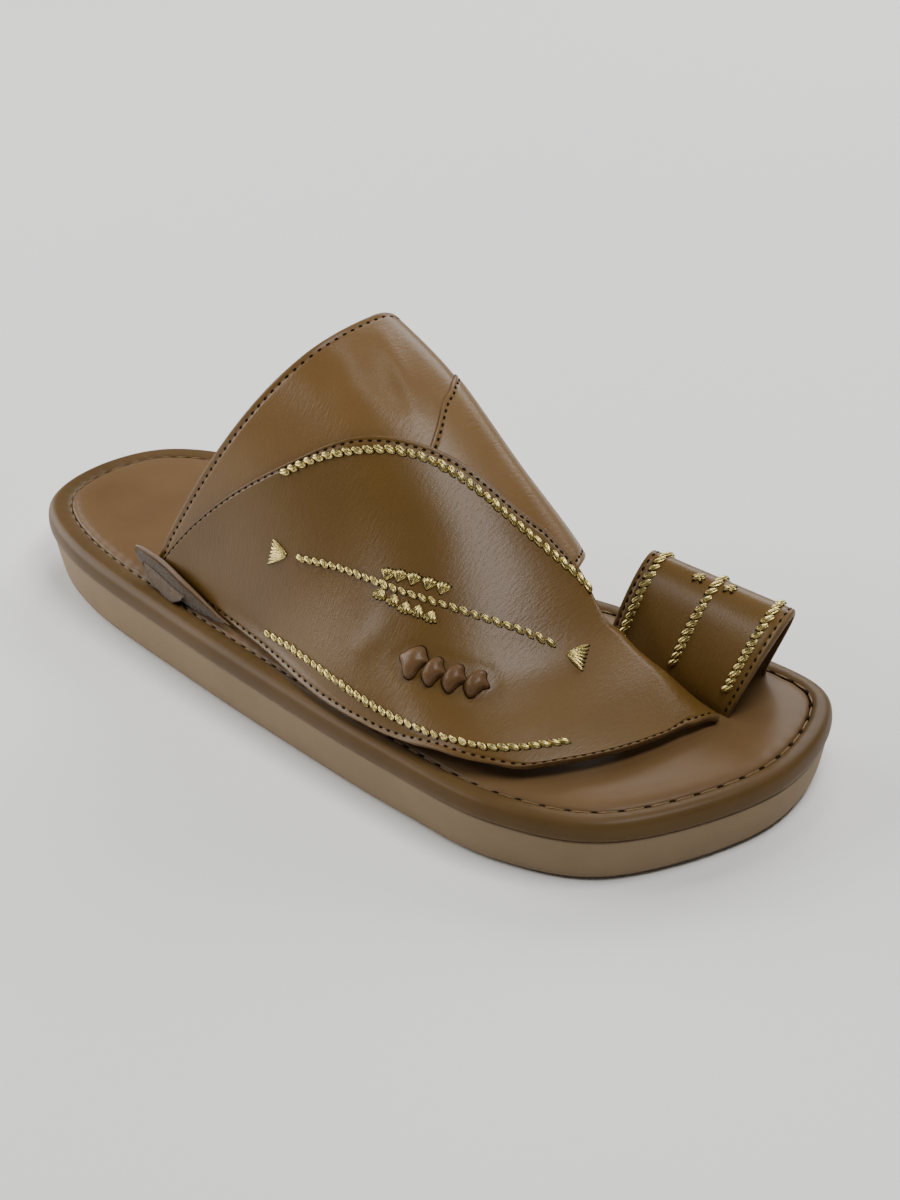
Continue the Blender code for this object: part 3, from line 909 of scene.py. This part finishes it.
def pucker():
    """How far each outline point is pulled down by the nearest stitch."""
    here = OUTLINE_RUN[:-1, None]
    around = OUTLINE_RUN[-1]
    apart = np.abs(here - HOLE_RUN[None, :])
    apart = np.minimum(apart, around - apart).min(axis=1)
    depth = between(*PUCKER_PULL, toe_share(OUTLINE[:, 0]))
    return depth * np.exp(-(apart / PUCKER_REACH) ** 2)


PUCKER = pucker()
GROOVE_IN = groove_inset(OUTLINE[:, 0])


def outsole():
    endness = np.abs(OUTWARD[:, 0])
    step = finer(OUTSOLE_WALL, OUTSOLE_RINGS)
    rings = []
    for share, end_inset, side_inset in zip(*step):
        inset = between(side_inset, end_inset, endness)
        rings.append(sole_ring(inset, lambda x: share * (rim_top(x) - RIM_DEPTH - SOLE_GAP)))
    piece = new_piece("foam_outsole", *loft(rings), [FOAM])
    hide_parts("outsole")


def footbed():
    rings = []
    for inset, below in zip(*finer(RIM_ROLL, RIM_RINGS)):
        ring = sole_ring(inset, lambda x: rim_top(x) - below)
        ring[:, 2] -= PUCKER * RIM_PUCKER * share_of(inset, *RIM_PUCKER_GROWS)
        rings.append(ring)
    for past, below in zip(*finer(GROOVE, GROOVE_RINGS)):
        ring = sole_ring(GROOVE_IN + past, lambda x: rim_top(x) - below * groove_depth(x))
        ring[:, 2] -= PUCKER
        rings.append(ring)
    piece = new_piece("wrapped_footbed", *loft(rings), [RIM_LEATHER])
    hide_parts("footbed")


def insole():
    rings = []
    for past, over in zip(*finer(INSOLE_EDGE, INSOLE_RINGS)):
        ring = sole_ring(GROOVE_IN + past, lambda x: insole_height(x, over))
        ring[:, 2] -= PUCKER * share_of(past, *INSOLE_PUCKER_GROWS)
        rings.append(ring)
    edge = rings[-1]
    spine_x = np.clip(edge[:, 0], *SPINE_ENDS)
    spine = np.c_[spine_x, SPINE_SWING * np.maximum(spine_x, 0), insole_top(spine_x)]
    for k in range(1, CROWN_RINGS):
        share = k / CROWN_RINGS
        rings.append(edge * (1 - share) + spine * share)
    piece = new_piece("padded_insole", *loft(rings), [SOCK_LEATHER])
    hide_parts("insole")


def groove_seam():
    """Thread of the seam that runs round in the groove, and dark domes painted as the shade in its needle
    slots.
    """
    path = sole_ring(GROOVE_IN - SEAM_OUT, seam_height)
    path = np.vstack([path, path[:1]])
    scale = run_length(path)[-1] / OUTLINE_RUN[-1]
    up = np.array([0.0, 0.0, 1.0])
    holes = []
    threads = []
    ends = np.r_[HOLE_RUN, OUTLINE_RUN[-1]]
    for start, end in zip(ends, ends[1:]):
        first, middle, last = at_distance(path, np.array([start, (start + end) / 2, end]) * scale)
        along = unit(last - first)
        half = np.linalg.norm(last - first) / 2 - GROOVE_THREAD_GAP
        threads.append((middle, axes_on(up, along, (half, *GROOVE_THREAD))))
        size = between(SLOT_HEEL, 1.0, toe_share(first[0]) ** 2)
        holes.append((first, axes_on(up, along, size * np.array(SLOT_HALF))))
    sewn("groove_thread", PLAIN_THREAD, threads, THREAD)
    sewn("groove_needle_holes", PIT, holes, HOLE_SHADE)


# Upper pieces


def edge_stitches(name, lines):
    """Needle holes, as dark domes of painted shade, and sunken thread along lines of points, outward
    directions and pitches.
    """
    holes = []
    threads = []
    for points, normals, pitches in lines:
        places = walk(points, normals, *pitches)
        for here, outward, ahead in places:
            holes.append((here, axes_on(outward, ahead, NEEDLE_HALF)))
        for (here, outward, _), (after, _, _) in zip(places, places[1:]):
            half = np.linalg.norm(after - here) / 2 - SEAM_THREAD_GAP
            axes = axes_on(outward, after - here, (half, *SEAM_THREAD))
            threads.append(((here + after) / 2, axes))
    sewn(name + "_needle_holes", PIT, holes, HOLE_SHADE)
    sewn(name + "_thread", PLAIN_THREAD, threads, THREAD)


def stitch_line(grid, outer, normal, seam, front):
    """The stitched line beside a sheet's back or front edge, where the sheet is wide enough."""
    column = int(np.argmin(np.abs(EDGE_STEPS - seam.inset)))
    column = -1 - column if front else column
    wide = grid.from_side[:, column] > SEAM_ROOM * seam.inset
    wide &= grid.from_end[:, column] > seam.inset
    wide &= grid.along[:, column] < seam.until
    return outer[wide, column], normal[wide, column], (seam.first, seam.last)


def tucked(surface):
    """The surface with its two ends drawn down into the slots of the insole."""
    def lower(along, across):
        points, normal = surface(along, across)
        end = share_of(np.minimum(along, 1 - along), TUCK_SHARE, 0.0)
        points = points.copy()
        points[..., 2] -= FOOT_TUCK * end
        return points, normal
    return lower


def upper():
    """Band, medial panel and leaf, each a sheet with its own folds and stitched edges."""
    pieces = table(
        "name form face folds back front",
        ("instep_band", BAND, LIT_BAND_CALF, BAND_FOLDS, BAND_SEAM, None),
        ("medial_panel", MEDIAL, LIT_BAND_CALF, (), MEDIAL_SEAM, MEDIAL_SEAM),
        ("leaf_vamp", LEAF, CALF, LEAF_FOLDS, LEAF_UPPER_SEAM, LEAF_LOWER_SEAM),
    )
    for row in pieces:
        surface = panel_surface(row.form)
        grid = sheet_grid(surface, row.form.rows, row.form.columns)
        base, _ = surface(grid.along, grid.across)
        relief = stitch_trough(grid, row.back, row.front or row.back) + fold_relief(base, row.folds)
        if row.form is LEAF:
            relief += diamond_dents(base)
        else:
            surface = tucked(surface)
        piece, outer, normal = leather_sheet(row.name, surface, row.form.wall, grid, relief,
                                             [row.face, EDGE_PAINT, LINING])
        lines = [stitch_line(grid, outer, normal, row.back, False)]
        if row.front:
            lines.append(stitch_line(grid, outer, normal, row.front, True))
        edge_stitches(row.name, lines)
        if row.form is BAND:
            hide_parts("upper")


def toe_ring():
    """Loop for the big toe with stitched edges."""
    surface = tucked(ring_surface)
    grid = sheet_grid(surface, RING_ROWS, RING_COLUMNS)
    relief = stitch_trough(grid, RING_SEAM, RING_SEAM)
    piece, outer, normal = leather_sheet("big_toe_ring", surface, RING_WALL, grid, relief,
                                         [CALF, EDGE_PAINT, LINING])
    lines = [stitch_line(grid, outer, normal, RING_SEAM, front) for front in (False, True)]
    edge_stitches("big_toe_ring", lines)
    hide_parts("toe_ring")


def side_tab():
    """Layers of the folded tab: a smooth strip, a fuzzy split layer and a torn one under it."""
    share = np.linspace(0, 1, TAB_ROWS)
    taper = np.minimum(1, TAB_TAPER * share * (1 - share)) ** 0.5
    for layer, material in zip(TAB_LAYERS, (STRIP_LEATHER, SPLIT, TORN)):
        row = row_at(TAB_STATIONS, between(layer.first, layer.last, share))
        torn = layer.ragged * np.cumsum(RANDOM.normal(0, TAB_RAGGED, TAB_ROWS))
        torn -= np.linspace(torn[0], torn[-1], TAB_ROWS)
        floor = rim_top(row.x) + SEAT_GAP
        across, corner_up = np.array(layer.corners).T
        top = corner_up.max()
        rings = []
        for k in range(TAB_ROWS):
            up = top - (top - corner_up) * taper[k]
            y = between(row.y_inner[k], row.y_outer[k], across)
            z = floor[k] + up * row.height[k] + torn[k] * (top - up)
            rings.append(np.c_[np.full(len(y), row.x[k]), y, z])
        piece = new_piece(layer.name, *loft(rings), [material])
        if layer is TAB_LAYERS[0]:
            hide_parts("side_tab")


# Gold embroidery


def veered(heading, outward, angle):
    """A heading on a surface, turned by an angle round the outward direction."""
    return heading * np.cos(angle) + np.cross(outward, heading) * np.sin(angle)


def braid(points, normals, pitch, tilt, size):
    """Row of lens-shaped stitches that lie across their line at a slant."""
    places = []
    for here, outward, ahead in walk(points, normals, *pitch):
        slant = veered(ahead, outward, tilt + RANDOM.normal(0, TILT_SPREAD))
        half = np.array(size) / 2 * RANDOM.normal(1.0, SIZE_SPREAD)
        places.append((here + BRAID_LIFT * outward, axes_on(outward, slant, half)))
    return places


def shaded_needle_ends(places):
    """Dark domes painted as the shade in the holes at both ends of each stitch, where its thread goes
    into the leather.
    """
    holes = []
    for centre, (along, _, out) in places:
        outward = unit(out)
        for side in (-GOLD_HOLE_AT, GOLD_HOLE_AT):
            place = centre + side * along - GOLD_HOLE_DROP * outward
            holes.append((place, axes_on(outward, along, GOLD_HOLE_HALF)))
    return holes


def leaf_line(places):
    """A line on the leaf's outer face through stations and turns."""
    places = np.asarray(places, float)
    fine = smooth(places, np.linspace(0, len(places) - 1, FINE))
    return leaf_face(fine)


def strand(start, end, outward, width, height):
    """One laid thread from start to end."""
    half = np.linalg.norm(end - start) / 2
    middle = (start + end) / 2 + STRAND_LIFT * outward
    return middle, axes_on(outward, unit(end - start), (half, width / 2, height / 2))


def fan(corners):
    """Triangle of laid threads that spread from its apex to its wide side."""
    points, normals = leaf_face(corners)
    apex, first, last = points
    outward = unit(normals.mean(axis=0))
    places = []
    for share in np.linspace(0, 1, FAN_STRANDS):
        end = first * (1 - share) + last * share
        places.append(strand(apex + FAN_BARE * (end - apex), end, outward, *FAN_STRAND))
    return places


def spray(root, outward, heading, angles, length):
    """Short stitches that open from one point at angles from a heading."""
    tips = [root + length * veered(heading, outward, angle) for angle in angles]
    return [strand(root, tip, outward, *BUD_STRAND) for tip in tips]


def gold_piece(name, form, places):
    """One mesh of gold threads, and one of dark domes painted as the shade in the holes at the ends of
    its stitches.
    """
    sewn(name, form, places, GOLD)
    sewn(name + "_holes", PIT, shaded_needle_ends(places), HOLE_SHADE)


def leaf_embroidery():
    stitches = braid(*leaf_line(UPPER_BRAID), LEAF_PITCH, BRAID_TILT, OUTER_GRAIN)
    stitches += braid(*leaf_line(LOWER_BRAID), LOWER_PITCH, BRAID_TILT, LOWER_GRAIN)
    stitches += braid(*leaf_line(MIDDLE_BRAID), LEAF_PITCH, BRAID_TILT, MIDDLE_GRAIN)
    gold_piece("leaf_gold_embroidery", GRAIN, stitches)
    gold_piece("leaf_gold_fans", GRAIN, fan(REAR_FAN) + fan(FRONT_FAN))
    points, _ = leaf_face(MIDDLE_BRAID)
    run = unit(points[-1] - points[0])
    petals = []
    for buds, side in ((UPPER_BUDS, 1.0), (LOWER_BUDS, -1.0)):
        for centre, outward in zip(*leaf_face(buds)):
            heading = side * unit(np.cross(outward, run))
            petals += spray(centre - heading * BUD_LENGTH / 2, outward, heading, BUD_ANGLES, BUD_LENGTH)
    gold_piece("leaf_gold_buds", PETAL, petals)


def ring_face(along, across):
    """Points on the toe ring's outer face and its outward directions."""
    points, normal = ring_surface(along, across)
    return points + RING_WALL * normal, normal


def ring_embroidery():
    along = np.linspace(*RING_ROW_ENDS, FINE)
    stitches = []
    for share in RING_ROW_SHARES:
        line = ring_face(along, np.full(FINE, share))
        stitches += braid(*line, RING_PITCH, RING_TILT, RING_GRAIN)
    laid = []
    for place in RING_CROSSES:
        centre, outward = ring_face(*map(np.array, place))
        ahead, _ = ring_face(np.array(place[0]), np.array(place[1] + CROSS_STEP))
        heading = unit(ahead - centre)
        for angle in CROSS_ANGLES:
            arm = CROSS_ARM * veered(heading, outward, angle)
            laid.append(strand(centre - arm, centre + arm, outward, *BUD_STRAND))
    gold_piece("ring_gold_embroidery", GRAIN, stitches)
    gold_piece("ring_gold_crosses", GRAIN, laid)


# Woven strip


def pillow(outline, rise):
    """Rings of a puffed form that rises from a smooth closed outline to an oval top."""
    wrapped = np.vstack([outline[-2:], outline, outline[:3]])
    loop = smooth(wrapped, np.linspace(2, 2 + len(outline), PILLOW_AROUND, endpoint=False))
    angle = np.arctan2(loop[:, 1], loop[:, 0])
    oval = np.c_[np.cos(angle), np.sin(angle)] * DIAMOND_OVAL
    rings = []
    for level in np.r_[-PILLOW_SINK, np.sin(np.linspace(0, PILLOW_TOP, PILLOW_RINGS) * np.pi / 2)]:
        share = max(level, 0.0)
        spread = (1 - share ** DIAMOND_POWER) ** (1 / DIAMOND_POWER)
        flat = spread * (loop * (1 - share ** 2) + oval * share ** 2)
        rings.append(np.c_[flat, np.full(len(flat), level * rise)])
    return rings


def diamond_row(name, scale, rise, material):
    """A form of each diamond's outline on the leaf, all in one mesh."""
    centres, normals = leaf_face(DIAMONDS)
    strip = unit(centres[-1] - centres[0])
    vertices = []
    faces = []
    outlines = [FIRST_DIAMOND] + [NEXT_DIAMOND] * (len(DIAMONDS) - 1)
    for outline, centre, outward in zip(outlines, centres, normals):
        points, sides = loft(pillow(scale * np.array(outline), rise))
        before = sum(map(len, vertices))
        faces += [np.array(side) + before for side in sides]
        vertices.append(centre + points @ axes_on(outward, strip, (1.0, 1.0, 1.0)))
    piece = new_piece(name, np.vstack(vertices), faces, [material])
    return piece


def woven_strip():
    """Four puffed leather diamonds where the strip stands out of the leaf, and dark plates of painted
    shade in the slits round them.
    """
    piece = diamond_row("woven_diamonds", 1.0, DIAMOND_RISE, STRIP_LEATHER)
    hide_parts("woven_strip")
    # dark plates painted as the shade in the slits round the diamonds
    diamond_row("woven_strip_slit_shade", SLIT_SHADE_SCALE, SLIT_SHADE_RISE, HOLE_SHADE)


# Stage


def camera():
    azimuth, elevation, roll = CAMERA_AZIMUTH, CAMERA_ELEVATION, CAMERA_ROLL
    level = np.array([np.cos(azimuth), np.sin(azimuth), 0.0])
    away = np.array([np.sin(azimuth), -np.cos(azimuth), 0.0])
    back = np.cos(elevation) * away + np.sin(elevation) * np.array([0.0, 0.0, 1.0])
    rise = np.cross(back, level)
    right = np.cos(roll) * level + np.sin(roll) * rise
    up = np.cos(roll) * rise - np.sin(roll) * level
    data = bpy.data.cameras.new("camera")
    data.lens = CAMERA_LENS
    data.shift_x, data.shift_y = CAMERA_SHIFT
    view = bpy.data.objects.new("camera", data)
    place = (np.array(CAMERA_TARGET) + back * CAMERA_DISTANCE) * MM
    turned = Matrix(np.stack([right, up, back], axis=1).tolist()).to_4x4()
    view.matrix_world = Matrix.Translation(Vector(place)) @ turned
    bpy.context.scene.collection.objects.link(view)
    bpy.context.scene.camera = view


def softbox(name, place, target, width, height, power):
    data = bpy.data.lights.new(name, "AREA")
    data.shape = "RECTANGLE"
    data.size = width
    data.size_y = height
    data.energy = power
    light = bpy.data.objects.new(name, data)
    light.location = place
    light.rotation_mode = "QUATERNION"
    light.rotation_quaternion = (Vector(target) - Vector(place)).to_track_quat("-Z", "Y")
    bpy.context.scene.collection.objects.link(light)


def stage():
    """Pale floor, white surroundings and soft lights."""
    half = FLOOR_HALF
    data = bpy.data.meshes.new("floor")
    corners = [(-half, -half, 0), (half, -half, 0), (half, half, 0), (-half, half, 0)]
    data.from_pydata(corners, [], [(0, 1, 2, 3)])
    data.materials.append(FLOOR)
    floor = bpy.data.objects.new("floor", data)
    bpy.context.scene.collection.objects.link(floor)
    world = bpy.data.worlds.new("studio")
    world.use_nodes = True
    background = world.node_tree.nodes["Background"]
    background.inputs["Color"].default_value = (1.0, 1.0, 1.0, 1.0)
    background.inputs["Strength"].default_value = WORLD_STRENGTH
    bpy.context.scene.world = world
    for light in LIGHTS:
        softbox(*light)


outsole()
footbed()
insole()
groove_seam()
upper()
toe_ring()
side_tab()
leaf_embroidery()
ring_embroidery()
woven_strip()
camera()
stage()
